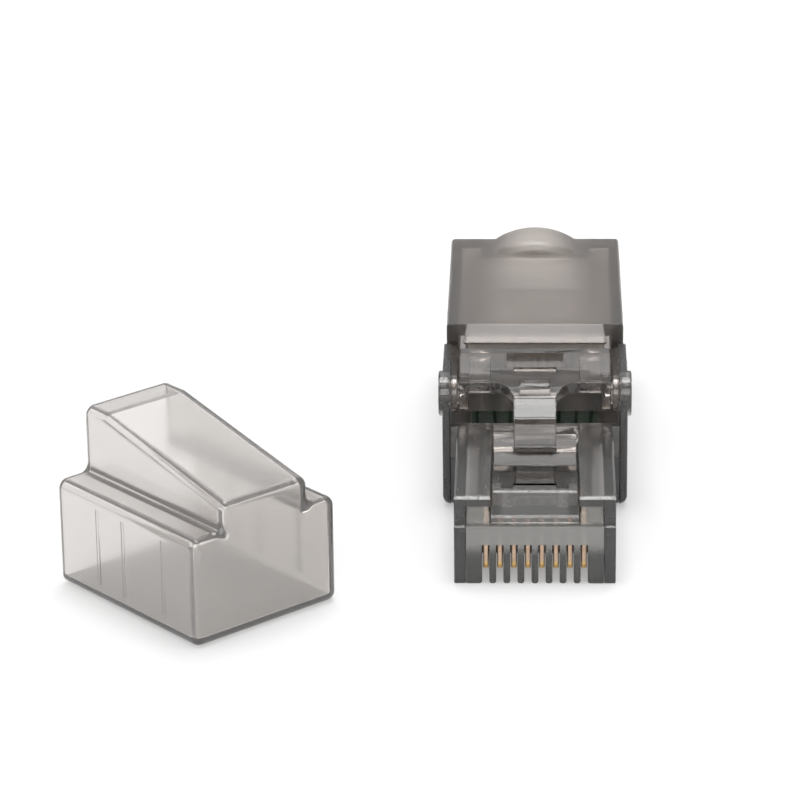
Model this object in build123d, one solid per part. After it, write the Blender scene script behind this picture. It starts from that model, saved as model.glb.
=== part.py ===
"""Tool-less RJ45 modular plug in smoky polycarbonate, with its dust cap lying beside it.

Millimetres. X runs across the plug, Y from the nose to the cable, Z up. The origin is at the middle
of the nose's front bottom edge, where the plug enters its jack. The latch is on top.
"""
import os
from math import atan2, degrees

from build123d import *

# Nose, which enters the jack
nose_width = 11.68
nose_height = 6.6
nose_length = 14.2
nose_wall = 0.84
nose_round = 0.18
front_step_drop = 2.14
front_step_depth = 0.33
front_wall = 0.77
roof_under_latch = 0.55
latch_bay_width = 6.4
latch_bay_depth = 1.0
bay_ramp_length = 1.4
window_inner_x = 3.2
window_drop = 0.75

# Contact carrier and contacts
carrier_gap = 0.02
carrier_length = 11.0
carrier_head_length = 3.0
contact_count = 8
contact_pitch = 1.016
contact_width = 0.4
contact_thickness = 0.3
contact_front_y = 1.35
contact_bottom_z = 0.5
contact_headroom = 0.05
contact_foot_length = 3.6
contact_pad_length = 2.0
contact_bend = 0.45
slot_bar = 0.9
slot_width = 0.52
slot_depth = 5.6
slot_leg_play = 0.2
tooth_round = 0.2

# Circuit board
board_thickness = 0.8
board_side_gap = 0.1
board_front_y = 3.2
board_past_block = 0.2

# Rear tray
tray_width = 13.9
tray_length = 27.8
tray_wall = 0.6
tray_floor = 1.0
tray_front_wall = 0.8
tray_round = 1.0
tray_rise = 0.8
rear_wall = 1.6
shelf_width = 2.0

# Hinge of the cover and the lever, in the ears
ear_setback = 1.8
ear_rise = 1.2
ear_radius = 1.7
ear_thickness = 0.3
ear_round = 0.15
pin_radius = 0.8
pin_gap = 0.04
pin_end_gap = 0.1
pin_root = 0.1
cheek_arc_radius = 6.4
cheek_foot = 0.5

# Rear cover
cover_side_step = 0.2
cover_rise = 3.4
cover_plate = 1.0
cover_skirt = 0.9
cover_setback = 5.9
cover_swing_gap = 0.25
cover_edge_round = 0.3
closing_gap = 0.05
apron_reach = 1.3
apron_drop = 1.1
apron_width_top = 10.2
apron_width_low = 11.0
apron_thickness = 0.6
apron_edge = 0.35
arm_thickness = 0.48
arm_eye_radius = 1.45
arm_height = 2.2
arm_taper = 0.2
arm_root_length = 2.0

# Cable entry
cable_radius = 3.1
collar_length = 4.0
collar_radius = 5.6
collar_step = 1.0
collar_wall = 1.0
collar_round = 0.8
collar_overlap = 0.1

# Latch, with its heights above the nose's top
latch_width = 6.08
neck_width = 2.85
neck_thickness = 0.7
neck_overlap = 0.4
handle_width = 3.1
latch_pivot_y = 1.9
latch_pivot_rise = 0.1
latch_play = 0.05
latch_plate_front_y = 4.15
latch_plate_rise = 0.95
latch_plate_low_rise = 0.38
latch_step_y = 6.2
latch_step_low_rise = 1.13
latch_step_high_rise = 1.47
latch_step_run = 0.25
latch_slot_depth = 0.5
latch_slot_roof = 0.1
shoulder_y = 8.36
shoulder_rise = 1.74
latch_thickness = 0.9
latch_underside_rise = 0.05
latch_round = 0.07
mark_radius = 1.3
mark_depth = 0.05
handle_bend_y = 9.3
handle_under_bend = 0.25
handle_rise = 2.22
handle_short_of_tray = 1.6
handle_thickness = 0.82
handle_round = 0.2
root_rise = 0.5
root_round = 0.12
root_web = 0.62
root_cheek = 0.64
root_relief_gap = 0.12
root_relief_floor = 0.1

# Release lever
lever_side_gap = 0.12
lever_rise = 1.4
lever_thickness = 0.9
lever_tip_reach = 6.5
lever_tip_gap = 0.13
lever_tip_height = 0.2
lever_ramp_reach = 4.6
lever_front_reach = 1.4
lever_rise_setback = 1.5
lever_rear_setback = 4.3
lever_rear_rise = 0.6
tongue_width = 3.2
wing_curve_width = 1.6
wing_curve_length = 3.3
lug_width = 0.7
lug_radius = 1.2
panel_inner_x = 3.4
panel_outer_x = 4.9
panel_front_margin = 0.7
panel_rear_margin = 0.7
panel_skin = 0.35
rib_height = 0.45
rib_length = 0.9
rib_root = 0.1
rib_setbacks = (-2.1, 0.7, 3.0)
rib_widths = (2.3, 3.25, 4.3)

# Terminal block, terminals and wire manager
wire_pitch = 1.27
wire_groove = 0.9
block_side_gap = 0.95
block_setback = 6.2
block_length = 9.0
block_height = 3.7
block_round = 0.2
groove_depth = 1.5
terminal_row_setbacks = (2.4, 6.4)
terminal_width = 1.6
terminal_thickness = 0.4
terminal_drop = 0.3
terminal_slot = 0.35
terminal_slot_depth = 1.9
terminal_mouth = 0.44
terminal_play = 0.05
manager_side_gap = 0.65
manager_gap = 0.15
manager_inset = 0.5
manager_round = 0.3
manager_groove_depth = 0.6
manager_lead_length = 3.0
manager_lead_edge = 0.5

# Dust cap, lying beside the plug
cap_length = 15.8
cap_width = 12.9
cap_height = 8.1
cap_wall = 0.55
cap_block_low = 2.64
cap_block_width = 7.8
cap_block_top = 13.05
cap_block_flat = 2.0
cap_block_front_top = 10.16
cap_round = 0.75
cap_grooves = (4.1, 7.1, 11.7)
cap_groove_width = 0.3
cap_groove_depth = 0.12
cap_groove_margin = 1.2
cap_corner_x = -34.25
cap_corner_y = 0.0
cap_turn = -47.5

# A length past every edge, for cuts that go right through, and two nearly-nothings
past = 60.0
sliver = 0.01
near = 0.001

# Values worked out from the ones above, from the bottom up
nose_half = nose_width / 2
carrier_half = nose_half - nose_wall
front_step_height = nose_height - front_step_drop
window_top_z = nose_height - window_drop
bay_floor_z = nose_height - latch_bay_depth
cavity_top_z = bay_floor_z - roof_under_latch
contact_top_z = cavity_top_z - contact_headroom
board_top_z = contact_top_z - contact_thickness
board_bottom_z = board_top_z - board_thickness
slot_top_z = board_bottom_z - slot_bar
tray_half = tray_width / 2
tray_inner_half = tray_half - tray_wall
tray_front_y = nose_length + tray_front_wall
tray_rear_y = nose_length + tray_length
parting_z = nose_height + tray_rise
cable_z = parting_z
collar_front_y = tray_rear_y - collar_length
ear_y = nose_length + ear_setback
ear_z = parting_z + ear_rise
cheek_top_z = ear_z + ear_radius
cover_half = tray_half - cover_side_step
cover_inner_half = cover_half - cover_skirt
cover_front_y = ear_y + cover_setback
cover_top_z = ear_z + cover_rise
cover_under_z = cover_top_z - cover_plate
latch_half = latch_width / 2
latch_pivot_z = nose_height + latch_pivot_rise
latch_plate_front_z = nose_height + latch_plate_rise
latch_plate_low_z = nose_height + latch_plate_low_rise
latch_step_low_z = nose_height + latch_step_low_rise
latch_step_high_z = nose_height + latch_step_high_rise
latch_step_top_y = latch_step_y + latch_step_run
latch_step_under_z = latch_step_low_z - latch_thickness + latch_underside_rise
shoulder_z = nose_height + shoulder_rise
handle_half = handle_width / 2
handle_top_z = nose_height + handle_rise
handle_end_y = nose_length - handle_short_of_tray
arm_outer_x = tray_inner_half - closing_gap
arm_inner_x = arm_outer_x - arm_thickness
lever_half = arm_inner_x - lever_side_gap
lever_top_z = ear_z + lever_rise
lever_front_y = ear_y - lever_front_reach
lever_rise_y = ear_y + lever_rise_setback
lever_rear_y = ear_y + lever_rear_setback
block_half = tray_inner_half - block_side_gap
block_front_y = ear_y + block_setback
block_rear_y = block_front_y + block_length
block_top_z = board_top_z + block_height
terminal_top_z = block_top_z - terminal_drop
contact_xs = [(i - (contact_count - 1) / 2) * contact_pitch for i in range(contact_count)]
wire_xs = [(i - (contact_count - 1) / 2) * wire_pitch for i in range(contact_count)]


def block(x_low, x_high, y_low, y_high, z_low, z_high):
    """A box between two corners."""
    size = (x_high - x_low, y_high - y_low, z_high - z_low)
    middle = ((x_low + x_high) / 2, (y_low + y_high) / 2, (z_low + z_high) / 2)
    return Pos(*middle) * Box(*size)


def span(side, inner, outer):
    """The low and high X between two distances from the middle plane, on one side of it."""
    return sorted((side * inner, side * outer))


def side_shape(sketch, x_low, x_high):
    """A side view, drawn in Y and Z, carried across the plug from x_low to x_high."""
    return extrude(Plane.YZ.offset(x_low) * sketch, amount=x_high - x_low)


def plan_shape(sketch, z_low, z_high):
    """A top view, drawn in X and Y, raised from z_low to z_high."""
    return extrude(Plane.XY.offset(z_low) * sketch, amount=z_high - z_low)


def outline(*points):
    """A closed outline with straight sides, at its own coordinates."""
    return make_face(Polyline(*points, close=True))


def disc(across, up, radius):
    """A round outline about a point."""
    return Pos(across, up) * Circle(radius)


def rod_across(y, z, radius, x_low, x_high):
    """A cylinder along X."""
    return side_shape(disc(y, z, radius), x_low, x_high)


def rod_along(z, radius, y_low, y_high):
    """A cylinder along Y on the plug's middle plane."""
    return Pos(0, (y_low + y_high) / 2, z) * Rot(90, 0, 0) * Cylinder(radius, y_high - y_low)


def make_nose():
    """The outer form of the nose, with the step across its front and its small edge rounds."""
    profile = outline(
        (0, 0),
        (tray_front_y, 0),
        (tray_front_y, nose_height),
        (front_step_depth, nose_height),
        (front_step_depth, front_step_height),
        (0, front_step_height),
    )
    nose = side_shape(profile, -nose_half, nose_half)
    top_front = nose.edges().filter_by(Axis.X).sort_by(Axis.Z)[-2:].sort_by(Axis.Y)[0]
    top_sides = nose.edges().filter_by(Axis.Y).group_by(Axis.Z)[-1]
    return fillet([top_front] + list(top_sides), nose_round)


def cheek_outline():
    """The side wall of the tray: up to the ear, and back to an arc about the hinge."""
    foot_z = parting_z - cheek_foot
    wall = outline(
        (nose_length, 0),
        (tray_rear_y, 0),
        (tray_rear_y, parting_z),
        (nose_length, parting_z),
    )
    raised = outline(
        (ear_y, foot_z),
        (ear_y + cheek_arc_radius, foot_z),
        (ear_y + cheek_arc_radius, cheek_top_z),
        (ear_y, cheek_top_z),
    )
    front = outline(
        (nose_length, foot_z),
        (ear_y, foot_z),
        (ear_y, ear_z),
        (ear_y - ear_radius, ear_z),
        (nose_length, ear_z - cheek_foot),
    )
    reach = disc(ear_y, ear_z, cheek_arc_radius)
    return wall + (raised & reach) + front + disc(ear_y, ear_z, ear_radius)


def rounded_front():
    """A tall block with the tray's own rounded corners, which trims what is added to it."""
    tall = block(-tray_half, tray_half, nose_length, tray_rear_y, 0, past)
    low_sides = tall.edges().filter_by(Axis.Y).group_by(Axis.Z)[0]
    low_front = tall.edges().filter_by(Axis.X).group_by(Axis.Z)[0].sort_by(Axis.Y)[0]
    return fillet(list(low_sides) + [low_front], tray_round)


def make_tray():
    """The rear tray: floor, side walls with ears, rear wall and the lower half of the cable collar."""
    inner = tray_inner_half
    inner_rear_y = tray_rear_y - rear_wall
    outer = block(-tray_half, tray_half, nose_length, tray_rear_y, 0, parting_z)
    low_sides = outer.edges().filter_by(Axis.Y).group_by(Axis.Z)[0]
    front_uprights = outer.edges().filter_by(Axis.Z).group_by(Axis.Y)[0]
    low_front = outer.edges().filter_by(Axis.X).group_by(Axis.Z)[0].sort_by(Axis.Y)[0]
    outer = fillet(list(low_sides) + list(front_uprights) + [low_front], tray_round)
    inside = block(-inner, inner, tray_front_y, inner_rear_y, tray_floor, past)
    above_nose = block(-inner, inner, 0, tray_front_y + sliver, nose_height, past)
    tray = outer - inside - above_nose
    for side in (-1, 1):
        cheek = side_shape(cheek_outline(), *span(side, inner, tray_half))
        ear = rod_across(ear_y, ear_z, ear_radius, *span(side, tray_half, tray_half + ear_thickness))
        rims = ear.edges().filter_by(GeomType.CIRCLE).sort_by(Axis.X)
        ear = fillet(rims[-1 if side > 0 else 0], ear_round)
        tray += (cheek & rounded_front()) + ear
        shelf_x = span(side, inner - shelf_width, inner)
        tray += block(*shelf_x, tray_front_y, block_rear_y + board_past_block, tray_floor, board_bottom_z)
    ring = rod_along(cable_z, collar_radius - collar_step, collar_front_y, inner_rear_y)
    lower = block(-inner, inner, collar_front_y, tray_rear_y, tray_floor, parting_z)
    return tray + (ring & lower)


def make_latch_root():
    """The block at the nose's front that carries the latch, with a relief each side of the neck."""
    half, top_z = latch_half, nose_height + root_rise
    root = block(-half, half, front_step_depth, latch_pivot_y, front_step_height, top_z)
    root = fillet(root.edges().group_by(Axis.Z)[-1], root_round)
    pocket_half = neck_width / 2 + latch_play
    pocket_front = latch_pivot_y - neck_thickness / 2 - latch_play
    pocket_floor = latch_pivot_z - neck_thickness / 2 - latch_play
    root -= block(-pocket_half, pocket_half, pocket_front, past, pocket_floor, past)
    for side in (-1, 1):
        relief_x = span(side, pocket_half + root_relief_gap, half - root_cheek)
        relief_front = front_step_depth + root_web
        root -= block(*relief_x, relief_front, past, bay_floor_z + root_relief_floor, past)
    return root


def make_housing():
    """The smoky moulding: nose, latch root and rear tray in one piece."""
    shell = make_nose() + make_tray()
    bay_half = latch_bay_width / 2
    bay = outline(
        (-past, bay_floor_z),
        (nose_length - bay_ramp_length, bay_floor_z),
        (nose_length, nose_height),
        (nose_length, past),
        (-past, past),
    )
    shell -= side_shape(bay, -bay_half, bay_half)
    shell += make_latch_root()
    pocket_half = carrier_half
    shell -= block(-pocket_half, pocket_half, -past, carrier_length + carrier_gap, -past, front_step_height)
    wall_rear = front_step_depth + front_wall
    shell -= block(-pocket_half, pocket_half, wall_rear, tray_front_y + sliver, tray_floor, cavity_top_z)
    for side in (-1, 1):
        window_x = span(side, window_inner_x, pocket_half)
        shell -= block(*window_x, -past, tray_front_y + sliver, front_step_height, window_top_z)
    shell -= rod_along(cable_z, cable_radius, collar_front_y - sliver, tray_rear_y + past)
    shell -= rod_across(ear_y, ear_z, pin_radius + pin_gap, -past, past)
    return shell


def make_carrier():
    """The comb that holds the contacts: a slot for each, with rounded teeth between them."""
    half = carrier_half - carrier_gap
    head_top_z = front_step_height - carrier_gap
    profile = outline(
        (0, 0),
        (carrier_length, 0),
        (carrier_length, board_bottom_z),
        (carrier_head_length, board_bottom_z),
        (carrier_head_length, head_top_z),
        (0, head_top_z),
    )
    carrier = side_shape(profile, -half, half)
    leg_front = contact_front_y - slot_leg_play
    leg_rear = contact_front_y + contact_thickness + slot_leg_play
    for x in contact_xs:
        left, right = x - slot_width / 2, x + slot_width / 2
        carrier -= block(left, right, -past, slot_depth, -past, slot_top_z)
        carrier -= block(left, right, leg_front, leg_rear, -past, past)
    tooth_reach = (contact_count / 2) * contact_pitch
    tooth_edges = [
        edge
        for edge in carrier.edges().filter_by(Axis.Y)
        if edge.center().Z < near and abs(edge.center().X) < tooth_reach and edge.length > tooth_round
    ]
    return fillet(tooth_edges, tooth_round)


def make_contact(x):
    """A bent strip: along the board's pad, down behind the comb's bar, and back along the bottom."""
    front, top, low = contact_front_y, contact_top_z, contact_bottom_z
    inner = front + contact_thickness
    pad_end = board_front_y + contact_pad_length
    foot_end = front + contact_foot_length
    strip = outline(
        (pad_end, top),
        (front, top),
        (front, low),
        (foot_end, low),
        (foot_end, low + contact_thickness),
        (inner, low + contact_thickness),
        (inner, top - contact_thickness),
        (pad_end, top - contact_thickness),
    )
    strip = fillet(strip.vertices().group_by(Axis.X)[0], contact_bend)
    inner_corners = [v for v in strip.vertices() if abs(v.X - inner) < near]
    strip = fillet(inner_corners, contact_bend - contact_thickness)
    return side_shape(strip, x - contact_width / 2, x + contact_width / 2)


def make_board():
    """The circuit board between the contacts and the terminals."""
    half = carrier_half - board_side_gap
    return block(-half, half, board_front_y, block_rear_y + board_past_block, board_bottom_z, board_top_z)


def make_terminal_block():
    """The block that holds the terminals, with a groove for each wire and a pocket for each terminal."""
    body = block(-block_half, block_half, block_front_y, block_rear_y, board_top_z, block_top_z)
    body = fillet(body.edges().group_by(Axis.Z)[-1], block_round)
    half_x = terminal_width / 2 + terminal_play
    half_y = terminal_thickness / 2 + terminal_play
    for i, x in enumerate(wire_xs):
        left, right = x - wire_groove / 2, x + wire_groove / 2
        body -= block(left, right, -past, past, block_top_z - groove_depth, past)
        y = block_front_y + terminal_row_setbacks[i % 2]
        body -= block(x - half_x, x + half_x, y - half_y, y + half_y, -past, past)
    return body


def make_terminal(i):
    """A forked terminal: a flat blade whose slot cuts through a wire's insulation."""
    x, y = wire_xs[i], block_front_y + terminal_row_setbacks[i % 2]
    half = terminal_width / 2
    slot = terminal_slot / 2
    slot_low = terminal_top_z - terminal_slot_depth
    mouth_low = terminal_top_z - terminal_mouth
    blade = outline(
        (x - half, board_top_z),
        (x + half, board_top_z),
        (x + half, terminal_top_z),
        (x + terminal_mouth, terminal_top_z),
        (x + slot, mouth_low),
        (x + slot, slot_low),
        (x - slot, slot_low),
        (x - slot, mouth_low),
        (x - terminal_mouth, terminal_top_z),
        (x - half, terminal_top_z),
    )
    front = Plane.XZ.offset(-(y - terminal_thickness / 2))
    return extrude(front * blade, amount=-terminal_thickness)


def make_wire_manager():
    """The comb under the cover that presses the wires down, with a slanted lead-in at the cable's end."""
    half = cover_inner_half - manager_side_gap
    low = block_top_z + manager_gap
    groove_top = low + manager_groove_depth
    rear_y = block_rear_y - manager_inset
    body = block(-half, half, block_front_y + manager_inset, rear_y, low, cover_under_z)
    body = fillet(body.edges().filter_by(Axis.Y).group_by(Axis.Z)[0], manager_round)
    lead = outline(
        (rear_y - manager_lead_length, low),
        (rear_y, cover_under_z - manager_lead_edge),
        (past, cover_under_z - manager_lead_edge),
        (past, -past),
        (rear_y - manager_lead_length, -past),
    )
    body -= side_shape(lead, -past, past)
    half_x = terminal_width / 2 + terminal_play
    half_y = terminal_thickness / 2 + 2 * terminal_play
    for i, x in enumerate(wire_xs):
        body -= block(x - wire_groove / 2, x + wire_groove / 2, -past, past, -past, groove_top)
        y = block_front_y + terminal_row_setbacks[i % 2]
        pocket_top = groove_top + manager_groove_depth
        body -= block(x - half_x, x + half_x, y - half_y, y + half_y, -past, pocket_top)
    return body


def make_latch_plate():
    """The latch's plate: a blunt front, a step, a ramp up to the shoulders, and a round mark."""
    side = outline(
        (latch_plate_front_y, latch_plate_front_z),
        (latch_step_y, latch_step_low_z),
        (latch_step_top_y, latch_step_high_z),
        (shoulder_y, shoulder_z),
        (shoulder_y, shoulder_z - latch_thickness),
        (latch_step_top_y, latch_step_under_z),
        (latch_plate_front_y, latch_plate_low_z),
    )
    plate = side_shape(side, -latch_half, latch_half)
    upper_edges = [e for e in plate.edges().filter_by(Axis.X) if e.center().Z > latch_plate_front_z - near]
    plate = fillet(upper_edges, latch_round)
    slope = degrees(atan2(latch_step_low_z - latch_plate_front_z, latch_step_y - latch_plate_front_y))
    mark = Pos(0, latch_step_y, latch_step_low_z) * Rot(slope, 0, 0) * Cylinder(mark_radius, 2 * mark_depth)
    return plate - (mark & block(-past, past, -past, latch_step_y - latch_round, -past, past))


def make_latch_handle():
    """The narrow handle, which rises from the plate's step and then runs level over the nose."""
    handle_low = handle_top_z - handle_thickness
    side = outline(
        (latch_step_top_y, latch_step_high_z),
        (handle_bend_y, handle_top_z),
        (handle_end_y, handle_top_z),
        (handle_end_y, handle_low),
        (handle_bend_y + handle_under_bend, handle_low),
        (shoulder_y, shoulder_z - latch_thickness),
        (latch_step_top_y, latch_step_under_z),
    )
    handle = side_shape(side, -handle_half, handle_half)
    return fillet(handle.edges().group_by(Axis.Y)[-1], handle_round)


def make_latch():
    """The latch: neck, plate with its step and shoulders, and the narrow handle."""
    slot_front = latch_step_y - latch_play
    slot_rear = latch_step_top_y + latch_slot_depth
    slot_roof = latch_step_high_z - latch_slot_roof
    slot = block(-handle_half, handle_half, slot_front, slot_rear, latch_step_low_z, slot_roof)
    arm = make_latch_plate() + make_latch_handle() - slot
    neck_half = neck_width / 2
    neck_rear_y = latch_plate_front_y + neck_overlap
    neck = outline(
        (latch_pivot_y, latch_pivot_z - neck_thickness / 2),
        (neck_rear_y, latch_plate_low_z - neck_thickness),
        (neck_rear_y, latch_plate_low_z),
        (latch_pivot_y, latch_pivot_z + neck_thickness / 2),
    )
    neck = side_shape(neck, -neck_half, neck_half)
    roll = rod_across(latch_pivot_y, latch_pivot_z, neck_thickness / 2, -neck_half, neck_half)
    return arm + neck + roll


def lever_side(depth):
    """The lever's side view, down to a given depth under its top."""
    tip_y = ear_y - lever_tip_reach
    ramp_y = ear_y - lever_ramp_reach
    tip_low = handle_top_z + lever_tip_gap
    rear_top = lever_top_z + lever_rear_rise
    return outline(
        (tip_y, tip_low),
        (tip_y, tip_low + lever_tip_height),
        (ramp_y, lever_top_z),
        (lever_rise_y, lever_top_z),
        (lever_rear_y, rear_top),
        (lever_rear_y, rear_top - depth),
        (lever_rise_y, lever_top_z - depth),
        (ramp_y, lever_top_z - depth),
    )


def lever_plan():
    """The lever's top view: a wing between the ears, drawn in to the tongue by two hollow curves."""
    tongue_half = tongue_width / 2
    root_half = tongue_half + wing_curve_width
    curve_low = lever_front_y - wing_curve_length
    tip_y = ear_y - lever_tip_reach
    plan = Pos(0, (lever_front_y + lever_rear_y) / 2)
    plan *= Rectangle(2 * lever_half, lever_rear_y - lever_front_y)
    plan += Pos(0, (tip_y + lever_rear_y) / 2) * Rectangle(tongue_width, lever_rear_y - tip_y)
    plan += Pos(0, (curve_low + lever_front_y) / 2) * Rectangle(2 * root_half, wing_curve_length)
    for side in (-1, 1):
        plan -= Pos(side * root_half, curve_low) * Ellipse(wing_curve_width, wing_curve_length)
    return plan


def make_rib(y, width):
    """A low rib across the lever, steep in front and sloping away behind."""
    climb = max(0.0, (y - lever_rise_y) * lever_rear_rise / (lever_rear_y - lever_rise_y))
    base = lever_top_z + climb - rib_root
    rib = outline(
        (y, base),
        (y, base + rib_root + rib_height),
        (y + rib_length, base + 2 * rib_root),
        (y + rib_length, base),
    )
    return side_shape(rib, -width / 2, width / 2)


def make_lever():
    """The wing-shaped lever: a plate between the ears, and a ribbed tongue over the latch's handle."""
    lever = side_shape(lever_side(lever_thickness), -lever_half, lever_half)
    lever &= plan_shape(lever_plan(), 0, cover_top_z)
    lug_top_z = lever_top_z - lever_thickness / 2
    hollow_side = lever_side(2 * lever_thickness) - lever_side(panel_skin)
    hollow_y = (lever_front_y + panel_front_margin, lever_rear_y - panel_rear_margin)
    for side in (-1, 1):
        lug = disc(ear_y, ear_z, lug_radius) + outline(
            (ear_y - lug_radius, ear_z),
            (ear_y + lug_radius, ear_z),
            (ear_y + lug_radius, lug_top_z),
            (ear_y - lug_radius, lug_top_z),
        )
        lever += side_shape(lug, *span(side, lever_half - lug_width, lever_half))
        pin_x = span(side, lever_half - pin_root, tray_half + ear_thickness - pin_end_gap)
        lever += rod_across(ear_y, ear_z, pin_radius, *pin_x)
        hollow = side_shape(hollow_side, *span(side, panel_inner_x, panel_outer_x))
        lever -= hollow & block(-past, past, *hollow_y, 0, past)
    for setback, width in zip(rib_setbacks, rib_widths):
        lever += make_rib(ear_y + setback, width)
    return lever


def make_apron():
    """The slanted front of the cover, wider at its lower edge."""
    rear_y = cover_front_y + apron_thickness
    low_y = cover_front_y - apron_reach
    low_z = cover_top_z - apron_drop
    side = outline(
        (rear_y, cover_top_z),
        (cover_front_y, cover_top_z),
        (low_y, low_z),
        (low_y + apron_thickness, low_z - apron_edge),
        (rear_y, cover_under_z),
    )
    low_half = apron_width_low / 2
    top_half = apron_width_top / 2
    plan = outline((-low_half, low_y), (low_half, low_y), (top_half, rear_y), (-top_half, rear_y))
    return side_shape(side, -low_half, low_half) & plan_shape(plan, 0, past)


def make_arm(side):
    """One hinge arm: from inside the skirt forward to an eye on the lever's pin."""
    root_y = ear_y + cheek_arc_radius + cover_swing_gap + arm_root_length
    half_height = arm_height / 2
    view = disc(ear_y, ear_z, arm_eye_radius) + outline(
        (ear_y, ear_z - half_height),
        (root_y, ear_z - half_height + arm_taper),
        (root_y, ear_z + half_height),
        (ear_y, ear_z + half_height),
    )
    view -= disc(ear_y, ear_z, pin_radius + pin_gap)
    return side_shape(view, *span(side, arm_inner_x, arm_outer_x))


def make_cover():
    """The rear cover: plate, skirts, rear wall with the collar's upper half, apron and hinge arms."""
    low_z = parting_z + closing_gap
    outer = block(-cover_half, cover_half, cover_front_y, tray_rear_y, low_z, cover_top_z)
    outer = fillet(outer.edges().filter_by(Axis.Y).group_by(Axis.Z)[-1], cover_edge_round)
    inner = cover_inner_half
    cover = outer - block(-inner, inner, -past, tray_rear_y - rear_wall, -past, cover_under_z)
    swing = rod_across(ear_y, ear_z, cheek_arc_radius + cover_swing_gap, -past, past)
    cover -= swing & block(-past, past, -past, past, -past, cheek_top_z + cover_swing_gap)
    cover += make_apron()
    dome = rod_along(cable_z, collar_radius, collar_front_y, tray_rear_y)
    dome = fillet(dome.edges().filter_by(GeomType.CIRCLE).sort_by(Axis.Y)[0], collar_round)
    dome_half = inner + collar_overlap
    cover += dome & block(-dome_half, dome_half, -past, past, low_z, past)
    cover -= rod_along(cable_z, collar_radius - collar_wall, collar_front_y - sliver, tray_rear_y - rear_wall)
    cover -= rod_along(cable_z, cable_radius, collar_front_y - sliver, tray_rear_y + past)
    for side in (-1, 1):
        cover += make_arm(side)
    return cover


def cap_form(inset, rim_x):
    """The cap's form about its own corner: a box with the latch block on top, moved in by an inset.

    X runs from the open rim to the closed front, Y across the cap.
    """
    front_x = cap_length - inset
    low = block(rim_x, front_x, inset, cap_width - inset, inset, cap_height - inset)
    profile = outline(
        (rim_x, cap_height / 2),
        (front_x, cap_height / 2),
        (front_x, cap_block_front_top - inset),
        (cap_block_flat, cap_block_top - inset),
        (rim_x, cap_block_top - inset),
    )
    side = Plane.XZ.offset(-(cap_block_low + inset))
    return low + extrude(side * profile, amount=-(cap_block_width - 2 * inset))


def make_cap():
    """The dust cap: a thin open shell with rounded edges and shallow upright grooves inside."""
    outer = cap_form(0, 0)
    outer = fillet([e for e in outer.edges() if e.center().X > near], cap_round)
    inner = cap_form(cap_wall, -cap_wall)
    inner = fillet([e for e in inner.edges() if e.center().X > near - cap_wall], cap_round - cap_wall)
    shell = outer - inner
    groove_z = (cap_groove_margin, cap_height - cap_groove_margin)
    near_wall_y = (cap_wall - cap_groove_depth, cap_wall + sliver)
    far_wall_y = (cap_width - cap_wall - sliver, cap_width - cap_wall + cap_groove_depth)
    for x in cap_grooves:
        for wall_y in (near_wall_y, far_wall_y):
            shell -= block(x, x + cap_groove_width, *wall_y, *groove_z)
    return Pos(cap_corner_x, cap_corner_y, 0) * Rot(0, 0, cap_turn) * shell


def make_nodes():
    """Every piece by its name."""
    nodes = {
        "housing": make_housing(),
        "contact_carrier": make_carrier(),
        "circuit_board": make_board(),
        "terminal_block": make_terminal_block(),
        "wire_manager": make_wire_manager(),
        "latch_arm": make_latch(),
        "release_lever": make_lever(),
        "rear_cover": make_cover(),
        "dust_cap": make_cap(),
    }
    for i, x in enumerate(contact_xs):
        nodes[f"contact_{i + 1}"] = make_contact(x)
        nodes[f"idc_terminal_{i + 1}"] = make_terminal(i)
    return nodes


os.makedirs("parts", exist_ok=True)
for name, shape in make_nodes().items():
    export_step(shape, f"parts/{name}.step")
    print(name, len(shape.solids()), round(shape.volume, 3))
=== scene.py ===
"""Looks of a tool-less RJ45 modular plug in smoky clear plastic, with its frosted dust cap beside it.

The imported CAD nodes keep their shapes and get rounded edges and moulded, plated and laminated
finishes. The circuit board's pads, tracks and solder and the contact carrier's heads are added here.
Metres; X runs across the plug, Y from its nose to the cable, Z up.
"""
from math import radians

import bpy
import numpy as np
from bpy.props import FloatProperty, FloatVectorProperty, IntProperty, PointerProperty, StringProperty
from bpy.types import Operator, Panel, PropertyGroup
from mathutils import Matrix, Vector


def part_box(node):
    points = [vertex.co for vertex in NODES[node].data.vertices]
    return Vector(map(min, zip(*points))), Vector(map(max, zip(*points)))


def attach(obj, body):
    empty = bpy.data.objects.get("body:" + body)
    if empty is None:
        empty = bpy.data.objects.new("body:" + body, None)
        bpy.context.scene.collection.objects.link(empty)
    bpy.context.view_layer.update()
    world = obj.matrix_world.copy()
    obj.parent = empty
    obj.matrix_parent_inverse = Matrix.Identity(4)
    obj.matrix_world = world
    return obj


bl_info = {
    "name": "Modular plug with dust cap",
    "version": (1, 0, 0),
    "blender": (4, 5, 0),
    "location": "View3D > Sidebar > Plug",
    "description": "Finishes a smoky modular plug, its circuit board and its dust cap, and sets the stage",
    "category": "Object",
}

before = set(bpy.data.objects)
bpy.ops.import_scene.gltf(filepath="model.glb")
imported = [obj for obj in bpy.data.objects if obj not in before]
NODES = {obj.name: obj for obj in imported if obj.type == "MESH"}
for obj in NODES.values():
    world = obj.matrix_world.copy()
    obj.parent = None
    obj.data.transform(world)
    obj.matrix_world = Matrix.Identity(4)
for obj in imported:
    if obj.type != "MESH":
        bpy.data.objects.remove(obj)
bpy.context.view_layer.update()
BOARD_LOW, BOARD_HIGH = (np.array(corner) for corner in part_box("circuit_board"))
CONTACT_NAMES = [f"contact_{i}" for i in range(1, 9)]
TERMINAL_NAMES = [f"idc_terminal_{i}" for i in range(1, 9)]
MILLIMETRE = 0.001
MICROMETRES_IN_METRE = 1e6
NOT_ZERO = 1e-12
CRISP_ANGLE = radians(40)
FLAT_ANGLE = radians(0.5)

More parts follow.
